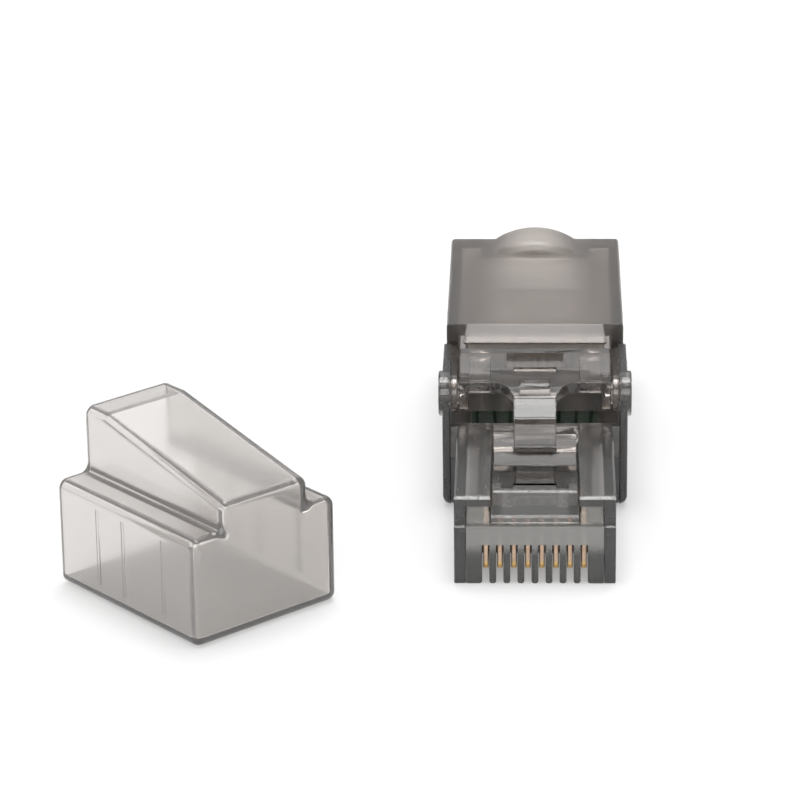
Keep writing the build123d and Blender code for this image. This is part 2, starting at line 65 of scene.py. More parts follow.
# Where the haze with its painted light and highlights and the bend lie on the plug, and how strong they are
NOSE_TOP = 6.6 * MILLIMETRE
ROOT_TOP = 7.1 * MILLIMETRE
STEP_TOP = 4.46 * MILLIMETRE
ROOT_HALF = 3.04 * MILLIMETRE
# Painted light: a faint haze lightens the middle of the latch root's front, for the light that comes through
# it
ROOT_LIGHT_HALF = 2.3 * MILLIMETRE
ROOT_LIGHT_MOST = 0.08
COVER_TOP = 12 * MILLIMETRE
# Painted light: how white the cover's dome and the middle of its face are made, for the light seen through
# the cover
DOME_PAINTED_LIGHT = 0.35
FACE_PAINTED_LIGHT = 0.1
CROWN_START = 13.9 * MILLIMETRE
CROWN_END = 11.4 * MILLIMETRE
CROWN_DEPTH = 0.62
# Painted highlights: white grainy haze along the top edges of the nose, the latch root and the front step,
# for their lit edges
PAINTED_EDGE_HIGHLIGHTS = (
    {
        "top": NOSE_TOP, "deep": 0.16 * MILLIMETRE, "front": 0.33 * MILLIMETRE, "reach": 0.75 * MILLIMETRE,
        "empty": 3.15 * MILLIMETRE, "full": 3.2 * MILLIMETRE, "most": 0.6,
    },
    {
        "top": ROOT_TOP, "deep": 0.14 * MILLIMETRE, "front": 0.33 * MILLIMETRE, "reach": 0.5 * MILLIMETRE,
        "empty": ROOT_HALF + 0.05 * MILLIMETRE, "full": ROOT_HALF, "most": 0.35,
    },
    {
        "top": STEP_TOP, "deep": 0.06 * MILLIMETRE, "front": -0.1 * MILLIMETRE, "reach": 0.8 * MILLIMETRE,
        "empty": 3.05 * MILLIMETRE, "full": 3.1 * MILLIMETRE, "most": 0.5,
    },
)

# What several materials share
POLYCARBONATE_IOR = 1.585
SMOKE_COLOUR = "#bdbab8"
MILK_COLOUR = "#dcdad6"
WHITE = (1.0, 1.0, 1.0, 1.0)

# Sockets of a Mix node between colours: the first and the second colour in, and the mixed one out
MIX_FIRST, MIX_SECOND, MIX_OUT = 6, 7, 2


def linear(hex_colour):
    """The linear RGBA of an sRGB hex colour."""
    srgb = np.array([int(hex_colour[i:i + 2], 16) for i in (1, 3, 5)]) / 255
    value = np.where(srgb <= 0.04045, srgb / 12.92, ((srgb + 0.055) / 1.055) ** 2.4)
    return (*value.tolist(), 1.0)


def add_node(tree, kind, settings=None, links=None):
    """Add a shader node, set its attributes and unlinked sockets, and link sockets into it."""
    node = tree.nodes.new(kind)
    for key, value in (settings or {}).items():
        if isinstance(key, str) and hasattr(node, key):
            setattr(node, key, value)
        else:
            node.inputs[key].default_value = value
    for key, source in (links or {}).items():
        tree.links.new(source, node.inputs[key])
    return node


def new_material(name):
    """A node material without any nodes, and its node tree."""
    material = bpy.data.materials.new(name)
    material.use_nodes = True
    material.node_tree.nodes.clear()
    return material, material.node_tree


# Finishes


def split_place(tree, place):
    """How far a place lies beside the plug's middle, behind its front and above its underside."""
    apart = add_node(tree, "ShaderNodeSeparateXYZ", {}, {"Vector": place})
    beside = add_node(tree, "ShaderNodeMath", {"operation": "ABSOLUTE"}, {0: apart.outputs["X"]})
    return beside.outputs["Value"], apart.outputs["Y"], apart.outputs["Z"]


def soft_patch(tree, most, ramps):
    """A patch with soft borders: most where every ramp is full, and nothing where one is empty.

    A ramp is what is measured, the value at which it is empty and the value from which it is full.
    """
    patch = None
    for measured, empty, full in ramps:
        ramp = add_node(
            tree, "ShaderNodeMapRange", {"From Min": empty, "From Max": full, "To Max": most},
            {"Value": measured},
        )
        if patch:
            tree.links.new(patch, ramp.inputs["To Max"])
        patch = ramp.outputs["Result"]
    return patch


def painted_edge_highlight(tree, place, top, deep, front, reach, empty, full, most):
    """How white a painted highlight along a top edge is, from 0 to most, in grains about 0.06 mm wide.

    The painted highlight goes down from the top by deep, and its grains thin out from the front backwards,
    over reach.
    Beside the plug's middle it fades in from empty to full.
    """
    beside, behind, height = split_place(tree, place)
    grains = add_node(tree, "ShaderNodeTexNoise", {"Scale": 9 / MILLIMETRE, "Detail": 2.0}, {"Vector": place})
    near = add_node(
        tree, "ShaderNodeMapRange",
        {"From Min": front, "From Max": front + reach, "To Min": 0.3, "To Max": -0.3}, {"Value": behind},
    )
    grainy_reach = add_node(
        tree, "ShaderNodeMath", {"operation": "ADD"}, {0: grains.outputs["Fac"], 1: near.outputs["Result"]}
    )
    fade = 0.03 * MILLIMETRE
    ramps = (
        (grainy_reach.outputs["Value"], 0.5, 0.75),
        (beside, empty, full),
        (height, top - deep - fade, top - deep),
        (height, top + fade, top),
    )
    return soft_patch(tree, most, ramps)


def front_painted_light(tree, place):
    """How white the nose's front is painted, from 0 to 1.

    The middle of the latch root's front gets a faint painted light, for the light that comes through it,
    and the top edges of the nose, the root and the front step get painted highlights.
    """
    beside, behind, _ = split_place(tree, place)
    painted_light_ramps = (
        (beside, ROOT_LIGHT_HALF + 0.2 * MILLIMETRE, ROOT_LIGHT_HALF),
        (behind, 0.9 * MILLIMETRE, 0.6 * MILLIMETRE),
    )
    haze = soft_patch(tree, ROOT_LIGHT_MOST, painted_light_ramps)
    # Each painted highlight along a top edge whitens the front further
    for edge in PAINTED_EDGE_HIGHLIGHTS:
        whiter = add_node(
            tree, "ShaderNodeMath", {"operation": "MAXIMUM"}, {0: haze, 1: painted_edge_highlight(tree, place, **edge)}
        )
        haze = whiter.outputs["Value"]
    return haze


def rear_painted_light(tree, place):
    """How white the cover's rear is painted, from 0 to 1.

    Its dome and the middle of the face before it are whitened softly: painted light, for the light seen
    through the cover there.
    """
    beside, behind, height = split_place(tree, place)
    dome_ramps = (
        (height, COVER_TOP, COVER_TOP + 0.6 * MILLIMETRE),
        (beside, 3.8 * MILLIMETRE, 0.8 * MILLIMETRE),
    )
    face_ramps = (
        (behind, 19.5 * MILLIMETRE, 23.5 * MILLIMETRE),
        (beside, 4.6 * MILLIMETRE, 2.2 * MILLIMETRE),
    )
    dome = soft_patch(tree, DOME_PAINTED_LIGHT, dome_ramps)
    face = soft_patch(tree, FACE_PAINTED_LIGHT, face_ramps)
    return add_node(tree, "ShaderNodeMath", {"operation": "MAXIMUM"}, {0: dome, 1: face}).outputs["Value"]


def tongue_crown(tree, coordinates):
    """How far the lever's tongue dips before its slope, in millimetres of bump along the face's normal.

    The solid turns from level to slope at one edge, and the moulding bends there over 2.5 mm: at t from 0
    to 1 along that stretch it dips by the depth times t squared, on its upper and its lower face alike.
    """
    place = add_node(tree, "ShaderNodeSeparateXYZ", {}, {"Vector": coordinates.outputs["Object"]})
    facing = add_node(tree, "ShaderNodeSeparateXYZ", {}, {"Vector": coordinates.outputs["Normal"]})
    run = add_node(
        tree, "ShaderNodeMapRange", {"From Min": CROWN_START, "From Max": CROWN_END},
        {"Value": place.outputs["Y"]},
    )
    bend = add_node(tree, "ShaderNodeMath", {"operation": "POWER", 1: 2.0}, {0: run.outputs["Result"]})
    inward = add_node(
        tree, "ShaderNodeMath", {"operation": "MULTIPLY", 1: -CROWN_DEPTH}, {0: facing.outputs["Z"]}
    )
    dip = add_node(
        tree, "ShaderNodeMath", {"operation": "MULTIPLY"},
        {0: bend.outputs["Value"], 1: inward.outputs["Value"]},
    )
    return dip.outputs["Value"]


def hair_scratches(tree, place):
    """Two crossing sets of hair scratches, from 0 to 1: 0.03 mm wide bands of a noise drawn out to 2 mm."""
    sets = []
    for turn, per_millimetre in ((0.5, (9, 0.5, 2.5)), (-0.9, (8, 0.6, 2.5))):
        drawn_out = add_node(
            tree, "ShaderNodeMapping",
            {"Rotation": (0.0, 0.0, turn), "Scale": [count / MILLIMETRE for count in per_millimetre]},
            {"Vector": place},
        )
        hair = add_node(
            tree, "ShaderNodeTexNoise", {"Scale": 1.0, "Detail": 3.0}, {"Vector": drawn_out.outputs["Vector"]}
        )
        sets.append(hair.outputs["Fac"])
    both = add_node(tree, "ShaderNodeMath", {"operation": "MAXIMUM"}, {0: sets[0], 1: sets[1]})
    lines = add_node(
        tree, "ShaderNodeMapRange", {"From Min": 0.6, "From Max": 0.78}, {"Value": both.outputs["Value"]}
    )
    return lines.outputs["Result"]


def moulded_roughness(tree, coordinates, scratches, scuffs, polished, matt, worn):
    """Roughness from polished at the nose to matt at the cable end, where the tool was finely blasted.

    Scratches add to it by up to 0.4 times the scuffs, and faces that look up add worn: they slide along
    the jack.
    """
    place = add_node(tree, "ShaderNodeSeparateXYZ", {}, {"Vector": coordinates.outputs["Object"]})
    blasted = add_node(
        tree, "ShaderNodeMapRange",
        {"From Min": 14 * MILLIMETRE, "From Max": 24 * MILLIMETRE, "To Min": polished, "To Max": matt},
        {"Value": place.outputs["Y"]},
    )
    scuffed = add_node(
        tree, "ShaderNodeMath", {"operation": "MULTIPLY_ADD", 1: 0.4 * scuffs},
        {0: scratches, 2: blasted.outputs["Result"]},
    )
    facing = add_node(tree, "ShaderNodeSeparateXYZ", {}, {"Vector": coordinates.outputs["Normal"]})
    upward = add_node(
        tree, "ShaderNodeMapRange", {"From Min": 0.3, "From Max": 0.9, "To Max": worn},
        {"Value": facing.outputs["Z"]},
    )
    rough = add_node(
        tree, "ShaderNodeMath", {"operation": "ADD"},
        {0: scuffed.outputs["Value"], 1: upward.outputs["Result"]},
    )
    return rough.outputs["Value"]


def end_clear_material(tree, surface, tint, density):
    """End a clear material with its surface and a tint that grows with the light's way through the piece."""
    depth = add_node(tree, "ShaderNodeVolumeAbsorption", {"Color": linear(tint), "Density": density})
    add_node(
        tree, "ShaderNodeOutputMaterial", {},
        {"Surface": surface.outputs["BSDF"], "Volume": depth.outputs["Volume"]},
    )


def smoky_plastic(
    name, colour, density, clear, scuffs, ripple, polished, matt, worn=0.0, haze=None, relief=None
):
    """Polycarbonate, injection moulded in a polished tool, tinted smoky grey.

    It gives the eye dark depth that grows with the thickness, sharp bright edges, faint flow ripples
    about 0.8 mm long and, where it is handled, hair scratches. Haze and relief are functions that add
    nodes: how white the plastic is painted, which makes it less clear and stands in for painted light
    and painted highlights, and how far its face rises, in millimetres.
    """
    material, tree = new_material(name)
    coordinates = add_node(tree, "ShaderNodeTexCoord")
    place = coordinates.outputs["Object"]
    flow = add_node(tree, "ShaderNodeTexNoise", {"Scale": 1.2 / MILLIMETRE, "Detail": 2.0}, {"Vector": place})
    waves = add_node(
        tree, "ShaderNodeBump", {"Strength": ripple, "Distance": 0.02 * MILLIMETRE},
        {"Height": flow.outputs["Fac"]},
    )
    scratches = hair_scratches(tree, place)
    scratched = add_node(
        tree, "ShaderNodeBump", {"Strength": scuffs, "Distance": 0.006 * MILLIMETRE},
        {"Height": scratches, "Normal": waves.outputs["Normal"]},
    )
    normal = scratched.outputs["Normal"]
    if relief:
        bent = add_node(
            tree, "ShaderNodeBump", {"Strength": 1.0, "Distance": MILLIMETRE},
            {"Height": relief(tree, coordinates), "Normal": normal},
        )
        normal = bent.outputs["Normal"]
    surface = add_node(
        tree, "ShaderNodeBsdfPrincipled",
        {"Base Color": linear(colour), "IOR": POLYCARBONATE_IOR, "Transmission Weight": clear},
        {
            "Roughness": moulded_roughness(tree, coordinates, scratches, scuffs, polished, matt, worn),
            "Normal": normal,
        },
    )
    if haze:
        left = add_node(
            tree, "ShaderNodeMath", {"operation": "MULTIPLY_ADD", 1: -clear, 2: clear}, {0: haze(tree, place)}
        )
        tree.links.new(left.outputs["Value"], surface.inputs["Transmission Weight"])
    end_clear_material(tree, surface, SMOKE_COLOUR, density)
    return material


def milky_comb(density):
    """Smoky polycarbonate whose upper bar has gone milky, as where a filler has not mixed in.

    It gives the eye clear dark teeth under a pale hazy bar that hides the contacts' legs behind it.
    """
    material, tree = new_material("hazy_smoky_polycarbonate")
    place = add_node(tree, "ShaderNodeTexCoord").outputs["Object"]
    height = add_node(tree, "ShaderNodeSeparateXYZ", {}, {"Vector": place}).outputs["Z"]
    teeth_to_bar = {"From Min": 2.2 * MILLIMETRE, "From Max": 3.1 * MILLIMETRE}
    clear = add_node(
        tree, "ShaderNodeMapRange", teeth_to_bar | {"To Min": 0.93, "To Max": 0.72}, {"Value": height}
    )
    dull = add_node(
        tree, "ShaderNodeMapRange", teeth_to_bar | {"To Min": 0.05, "To Max": 0.45}, {"Value": height}
    )
    surface = add_node(
        tree, "ShaderNodeBsdfPrincipled", {"Base Color": linear(MILK_COLOUR), "IOR": POLYCARBONATE_IOR},
        {"Roughness": dull.outputs["Result"], "Transmission Weight": clear.outputs["Result"]},
    )
    end_clear_material(tree, surface, SMOKE_COLOUR, density)
    return material


def frosted_plastic(density):
    """Polycarbonate moulded in a blasted tool: a thin milky grey shell, clear enough to see its far wall.

    It gives the eye dark rims where the light runs along the wall, and faint waves about 2 mm long.
    """
    material, tree = new_material("blasted_clear_polycarbonate")
    place = add_node(tree, "ShaderNodeTexCoord").outputs["Object"]
    cloud = add_node(
        tree, "ShaderNodeTexNoise", {"Scale": 0.45 / MILLIMETRE, "Detail": 1.0}, {"Vector": place}
    )
    relief = add_node(
        tree, "ShaderNodeBump", {"Strength": 0.15, "Distance": 0.03 * MILLIMETRE},
        {"Height": cloud.outputs["Fac"]},
    )
    dull = add_node(
        tree, "ShaderNodeMapRange", {"To Min": 0.13, "To Max": 0.19}, {"Value": cloud.outputs["Fac"]}
    )
    surface = add_node(
        tree, "ShaderNodeBsdfPrincipled",
        {"Base Color": linear("#f3f0ed"), "IOR": POLYCARBONATE_IOR, "Transmission Weight": 0.9},
        {"Roughness": dull.outputs["Result"], "Normal": relief.outputs["Normal"]},
    )
    end_clear_material(tree, surface, "#c3bfbe", density)
    return material


def gold_plated_bronze():
    """Phosphor bronze strip with hard gold where the jack's springs touch: warm copper leg, yellow foot."""
    material, tree = new_material("hard_gold_over_phosphor_bronze")
    place = add_node(tree, "ShaderNodeTexCoord").outputs["Object"]
    height = add_node(tree, "ShaderNodeSeparateXYZ", {}, {"Vector": place})
    unplated = add_node(
        tree, "ShaderNodeMapRange", {"From Min": 1.05 * MILLIMETRE, "From Max": 1.2 * MILLIMETRE},
        {"Value": height.outputs["Z"]},
    )
    tarnish = add_node(
        tree, "ShaderNodeTexNoise", {"Scale": 2.5 / MILLIMETRE, "Detail": 3.0}, {"Vector": place}
    )
    gold = add_node(
        tree, "ShaderNodeMix",
        {"data_type": "RGBA", MIX_FIRST: linear("#ffdc9b"), MIX_SECOND: linear("#f6c880")},
        {0: tarnish.outputs["Fac"]},
    )
    copper = add_node(
        tree, "ShaderNodeMix",
        {"data_type": "RGBA", MIX_FIRST: linear("#f0d5bd"), MIX_SECOND: linear("#cfb097")},
        {0: tarnish.outputs["Fac"]},
    )
    colour = add_node(
        tree, "ShaderNodeMix", {"data_type": "RGBA"},
        {
            0: unplated.outputs["Result"], MIX_FIRST: gold.outputs[MIX_OUT],
            MIX_SECOND: copper.outputs[MIX_OUT],
        },
    )
    rolled = add_node(
        tree, "ShaderNodeMapRange", {"To Min": 0.28, "To Max": 0.42}, {"Value": tarnish.outputs["Fac"]}
    )
    surface = add_node(
        tree, "ShaderNodeBsdfPrincipled", {"Metallic": 1.0},
        {"Base Color": colour.outputs[MIX_OUT], "Roughness": rolled.outputs["Result"]},
    )
    add_node(tree, "ShaderNodeOutputMaterial", {}, {"Surface": surface.outputs["BSDF"]})
    return material


def plated_metal(name, bright, worn, smooth, rough):
    """A thin electroplated metal: two tones in soft patches about 0.3 mm across, and a satin sheen."""
    material, tree = new_material(name)
    place = add_node(tree, "ShaderNodeTexCoord").outputs["Object"]
    patch = add_node(
        tree, "ShaderNodeTexNoise", {"Scale": 3.2 / MILLIMETRE, "Detail": 2.0}, {"Vector": place}
    )
    colour = add_node(
        tree, "ShaderNodeMix", {"data_type": "RGBA", MIX_FIRST: linear(bright), MIX_SECOND: linear(worn)},
        {0: patch.outputs["Fac"]},
    )
    satin = add_node(
        tree, "ShaderNodeMapRange", {"To Min": smooth, "To Max": rough}, {"Value": patch.outputs["Fac"]}
    )
    surface = add_node(
        tree, "ShaderNodeBsdfPrincipled", {"Metallic": 1.0},
        {"Base Color": colour.outputs[MIX_OUT], "Roughness": satin.outputs["Result"]},
    )
    add_node(tree, "ShaderNodeOutputMaterial", {}, {"Surface": surface.outputs["BSDF"]})
    return material


def masked_laminate():
    """Glass-epoxy laminate, sawn and masked: dull tan edges and dark green faces.

    The faces show a weave of threads 0.5 mm wide, faintly through the solder mask.
    """
    material, tree = new_material("glass_epoxy_with_solder_mask")
    coordinates = add_node(tree, "ShaderNodeTexCoord")
    place = coordinates.outputs["Object"]
    threads = {"Scale": 0.32 / MILLIMETRE, "Distortion": 1.0}
    warp = add_node(tree, "ShaderNodeTexWave", {"bands_direction": "X"} | threads, {"Vector": place})
    weft = add_node(tree, "ShaderNodeTexWave", {"bands_direction": "Y"} | threads, {"Vector": place})
    weave = add_node(
        tree, "ShaderNodeMath", {"operation": "MULTIPLY"}, {0: warp.outputs["Fac"], 1: weft.outputs["Fac"]}
    )
    mask = add_node(
        tree, "ShaderNodeMix",
        {"data_type": "RGBA", MIX_FIRST: linear("#2f3d34"), MIX_SECOND: linear("#42544a")},
        {0: weave.outputs["Value"]},
    )
    facing = add_node(tree, "ShaderNodeSeparateXYZ", {}, {"Vector": coordinates.outputs["Normal"]})
    flat = add_node(tree, "ShaderNodeMath", {"operation": "ABSOLUTE"}, {0: facing.outputs["Z"]})
    colour = add_node(
        tree, "ShaderNodeMix", {"data_type": "RGBA", MIX_FIRST: linear("#8d866c")},
        {0: flat.outputs["Value"], MIX_SECOND: mask.outputs[MIX_OUT]},
    )
    relief = add_node(
        tree, "ShaderNodeBump", {"Strength": 0.15, "Distance": 0.02 * MILLIMETRE},
        {"Height": weave.outputs["Value"]},
    )
    surface = add_node(
        tree, "ShaderNodeBsdfPrincipled", {"Roughness": 0.28, "IOR": 1.5},
        {"Base Color": colour.outputs[MIX_OUT], "Normal": relief.outputs["Normal"]},
    )
    add_node(tree, "ShaderNodeOutputMaterial", {}, {"Surface": surface.outputs["BSDF"]})
    return material


# Shapes


def grid_shape(points, closed=True):
    """The corners and faces of a grid of points, rows by columns.

    A closed one is joined round its columns and gets one face at its first and its last row. Its faces
    look outwards where the columns run anticlockwise seen from the end that the rows go to.
    """
    rows, columns = points.shape[:2]
    index = np.arange(rows * columns).reshape(rows, columns)
    round_index = np.hstack([index, index[:, :1]]) if closed else index
    near, far = round_index[:-1], round_index[1:]
    quads = np.stack([near[:, :-1], near[:, 1:], far[:, 1:], far[:, :-1]], axis=-1)
    faces = quads.reshape(-1, 4).tolist()
    if closed:
        faces += [index[0, ::-1].tolist(), index[-1].tolist()]
    return points.reshape(-1, 3), faces


def turned_shape(middle, radii, heights, segments):
    """A closed shape turned about an upright axis.

    A ring of segments points at angle a is (radius cos a, radius sin a, height), one ring for each pair
    of radii and heights from the bottom up.
    """
    angle = np.linspace(0, 2 * np.pi, segments, endpoint=False)
    radius, height = np.array(radii)[:, None], np.array(heights)[:, None]
    x = middle[0] + radius * np.cos(angle)
    y = middle[1] + radius * np.sin(angle)
    return grid_shape(np.stack([x, y, height + 0 * angle], axis=-1))


def pad_shape(middle, size, low, high, segments, power=4):
    """A flat pad or block with round corners.

    Its outline at angle a is half the size times cos a and sin a, each raised to two over the power with
    its sign kept. That is a superellipse, squarer for a higher power. Its top ring is drawn in by a tenth
    of the narrow side.
    """
    angle = np.linspace(0, 2 * np.pi, segments, endpoint=False)
    cosine, sine = np.cos(angle), np.sin(angle)
    outline_x = np.sign(cosine) * np.abs(cosine) ** (2 / power) * size[0] / 2
    outline_y = np.sign(sine) * np.abs(sine) ** (2 / power) * size[1] / 2
    inset = np.array([0, 0, 0.1 * min(size)])[:, None]
    height = np.array([low, (low + high) / 2, high])[:, None]
    x = middle[0] + outline_x * (1 - 2 * inset / size[0])
    y = middle[1] + outline_y * (1 - 2 * inset / size[1])
    return grid_shape(np.stack([x, y, height + 0 * angle], axis=-1))


def track_shape(start, end, bend, width, low, high, steps):
    """A copper track: a flat ribbon along a smooth S from start to end.

    At t from 0 to 1 the middle line is at x = x0 + (x1 - x0) s((t - b) / (1 - 2 b)), with s the smooth
    step and b the bend's margin, and y = y0 + (y1 - y0) t. Its section is a trapezium, whose top is 0.8
    times as wide as its foot.
    """
    t = np.linspace(0, 1, steps)
    s = np.clip((t - bend) / (1 - 2 * bend), 0, 1)
    s = s * s * (3 - 2 * s)
    x = start[0] + (end[0] - start[0]) * s
    y = start[1] + (end[1] - start[1]) * t
    along = np.stack([np.gradient(x), np.gradient(y)], axis=-1)
    along /= np.linalg.norm(along, axis=1, keepdims=True)
    side = np.stack([along[:, 1], -along[:, 0]], axis=-1)
    foot, crest = width / 2, 0.4 * width
    columns = [
        np.stack([x + side[:, 0] * offset, y + side[:, 1] * offset, 0 * x + height], axis=-1)
        for offset, height in ((foot, low), (crest, high), (-crest, high), (-foot, low))
    ]
    return grid_shape(np.stack(columns, axis=1))


def smooth_mesh(name, shapes):
    """One smooth mesh from the corners and faces of several shapes."""
    faces, base = [], 0
    for corners, polygons in shapes:
        faces += [[corner + base for corner in polygon] for polygon in polygons]
        base += len(corners)
    mesh = bpy.data.meshes.new(name)
    mesh.from_pydata(np.vstack([corners for corners, _ in shapes]).tolist(), [], faces)
    mesh.validate()
    mesh.shade_smooth()
    return mesh


def add_piece(name, shapes, material, body):
    """One object from several shapes, with its material, riding on a body."""
    mesh = smooth_mesh(name, shapes)
    mesh.materials.append(material)
    piece = bpy.data.objects.new(name, mesh)
    bpy.context.scene.collection.objects.link(piece)
    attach(piece, body)
    split = piece.modifiers.new("crisp_edges", "EDGE_SPLIT")
    split.split_angle = CRISP_ANGLE


def mark_edges(mesh):
    """Mark the edges of a CAD mesh, whose faces share no vertices: outer ones to round, inner ones sharp.

    Corners within a micrometre count as one. Two triangles that share a side make an edge where their
    normals turn by more than the crisp angle. It is an outer one where the second triangle's far corner
    lies below the first one's plane, and an inner corner otherwise.
    """
    flat = np.zeros(len(mesh.vertices) * 3)
    mesh.vertices.foreach_get("co", flat)
    rounded = np.round(flat.reshape(-1, 3) * MICROMETRES_IN_METRE)
    corners, place = np.unique(rounded, axis=0, return_inverse=True)
    place = place.ravel()
    mesh.calc_loop_triangles()
    triangles = np.zeros(len(mesh.loop_triangles) * 3, dtype=int)
    mesh.loop_triangles.foreach_get("vertices", triangles)
    triangles = place[triangles].reshape(-1, 3)
    first, second, third = (corners[triangles[:, i]] for i in range(3))
    normals = np.cross(second - first, third - first)
    normals /= np.linalg.norm(normals, axis=1, keepdims=True) + NOT_ZERO
    sides = np.concatenate([triangles[:, [0, 1]], triangles[:, [1, 2]], triangles[:, [2, 0]]])
    opposite = np.concatenate([triangles[:, 2], triangles[:, 0], triangles[:, 1]])
    owner = np.tile(np.arange(len(triangles)), 3)
    code = sides.min(axis=1) * len(corners) + sides.max(axis=1)
    order = np.argsort(code, kind="stable")
    code, owner, opposite, start = code[order], owner[order], opposite[order], sides[order, 0]
    pair = np.flatnonzero(code[:-1] == code[1:])
    turn = (normals[owner[pair]] * normals[owner[pair + 1]]).sum(axis=1)
    rise = ((corners[opposite[pair + 1]] - corners[start[pair]]) * normals[owner[pair]]).sum(axis=1)
    crisp = turn < np.cos(CRISP_ANGLE)
    ends = np.zeros(len(mesh.edges) * 2, dtype=int)
    mesh.edges.foreach_get("vertices", ends)
    ends = place[ends].reshape(-1, 2)
    ends = ends.min(axis=1) * len(corners) + ends.max(axis=1)
    outer = np.isin(ends, code[pair][crisp & (rise < 0)])
    inner = np.isin(ends, code[pair][crisp & (rise >= 0)])
    mesh.attributes.new("bevel_weight_edge", "FLOAT", "EDGE").data.foreach_set("value", outer.astype(float))
    mesh.edges.foreach_set("use_edge_sharp", inner)


def finish_node(name, material, edge_round, gap=0.0):
    """Weld a CAD node's loose triangles, round its outer edges a little and give it its material.

    A gap draws the surface in by that much, where a clear piece would share a face with its neighbour.
    """
    node = NODES[name]
    node.data.materials.clear()
    node.data.materials.append(material)
    node.data.shade_smooth()
    mark_edges(node.data)
    weld = node.modifiers.new("weld", "WELD")
    weld.merge_threshold = 1 / MICROMETRES_IN_METRE
    if gap:
        seat = node.modifiers.new("seating_gap", "DISPLACE")
        seat.strength = -gap
        seat.mid_level = 0.0
    flat = node.modifiers.new("merge_flat_faces", "DECIMATE")
    flat.decimate_type = "DISSOLVE"
    flat.angle_limit = FLAT_ANGLE
    bevel = node.modifiers.new("edge_rounds", "BEVEL")
    bevel.width = edge_round
    bevel.segments = 2
    bevel.limit_method = "WEIGHT"
    bevel.use_clamp_overlap = False
    even = node.modifiers.new("even_shading", "WEIGHTED_NORMAL")
    even.weight = 90
    even.keep_sharp = True


# Sizes and colours that a user would change


class PlugFinishSettings(PropertyGroup):
    """How the CAD pieces are finished"""

    smoke_density: FloatProperty(
        name="Smoke", description="How strongly the smoky plastic darkens with thickness, per metre",
        default=740.0, min=0.0,
    )
    cap_density: FloatProperty(
        name="Cap smoke", description="How strongly the dust cap darkens with thickness, per metre",
        default=620.0, min=0.0,
    )
    edge_round: FloatProperty(
        name="Edge round", description="Radius of the moulded pieces' edges", default=0.08 * MILLIMETRE,
        unit="LENGTH", precision=5,
    )
    seating_gap: FloatProperty(
        name="Seating gap", description="Air between the clear wire pieces and what they are seated on",
        default=0.01 * MILLIMETRE, unit="LENGTH", precision=6,
    )
    metal_round: FloatProperty(
        name="Metal edge round", description="Radius of the stamped metal's edges",
        default=0.08 * MILLIMETRE, unit="LENGTH", precision=5,
    )


class PlugBoardSettings(PropertyGroup):
    """Sizes of what is printed and soldered on the circuit board"""

    pad_width: FloatProperty(
        name="Pad width", description="Width of the gold pads under the contacts",
        default=0.62 * MILLIMETRE, unit="LENGTH", precision=5,
    )
    pad_length: FloatProperty(
        name="Pad length", description="Length of the gold pads under the contacts",
        default=2.1 * MILLIMETRE, unit="LENGTH", precision=5,
    )
    pad_margin: FloatProperty(
        name="Pad margin", description="From the board's front edge to the pads",
        default=0.1 * MILLIMETRE, unit="LENGTH", precision=5,
    )
    ring_radius: FloatProperty(
        name="Ring radius", description="Radius of the plated rings under the terminals",
        default=0.62 * MILLIMETRE, unit="LENGTH", precision=5,
    )
    track_width: FloatProperty(
        name="Track width", description="Width of the copper tracks", default=0.3 * MILLIMETRE,
        unit="LENGTH", precision=5,
    )
    track_overlap: FloatProperty(
        name="Track overlap", description="How far the tracks run into the pads",
        default=0.2 * MILLIMETRE, unit="LENGTH", precision=5,
    )
    track_margin: FloatProperty(
        name="Track margin", description="Share of a track that runs straight at each of its ends",
        default=0.15, subtype="FACTOR", min=0.0, max=0.45,
    )
    track_steps: IntProperty(name="Track steps", description="Points along a track", default=40, min=8)
    copper_height: FloatProperty(
        name="Copper height", description="How far pads and tracks stand on the board",
        default=0.035 * MILLIMETRE, unit="LENGTH", precision=6,
    )
    segments: IntProperty(
        name="Segments", description="Points round a pad or a solder joint", default=24, min=8
    )


class PlugHeadSettings(PropertyGroup):
    """Sizes of the contact carrier's heads, which show in the nose's windows"""

    beside: FloatProperty(
        name="Beside the middle", description="From the plug's middle to the middle of each head",
        default=4.1 * MILLIMETRE, unit="LENGTH", precision=5,
    )
    behind: FloatProperty(
        name="Behind the front", description="From the plug's front to the middle of the heads",
        default=0.86 * MILLIMETRE, unit="LENGTH", precision=5,
    )
    width: FloatProperty(
        name="Head width", description="Width of each head", default=1.66 * MILLIMETRE, unit="LENGTH",
        precision=5,
    )
    length: FloatProperty(
        name="Head length", description="Length of each head from front to back",
        default=0.82 * MILLIMETRE, unit="LENGTH", precision=5,
    )
    foot: FloatProperty(
        name="Head foot", description="Height of the heads' lower end", default=4.45 * MILLIMETRE,
        unit="LENGTH", precision=5,
    )
    top: FloatProperty(
        name="Head top", description="Height of the heads' upper end", default=5.8 * MILLIMETRE,
        unit="LENGTH", precision=5,
    )
    squareness: FloatProperty(
        name="Squareness", description="Power of the heads' outline: 2 is round, more is squarer",
        default=14.0, min=2.0,
    )
    segments: IntProperty(name="Head segments", description="Points round a head", default=48, min=8)
    density: FloatProperty(
        name="Head smoke", description="How strongly the heads darken with thickness, per metre",
        default=300.0, min=0.0,
    )


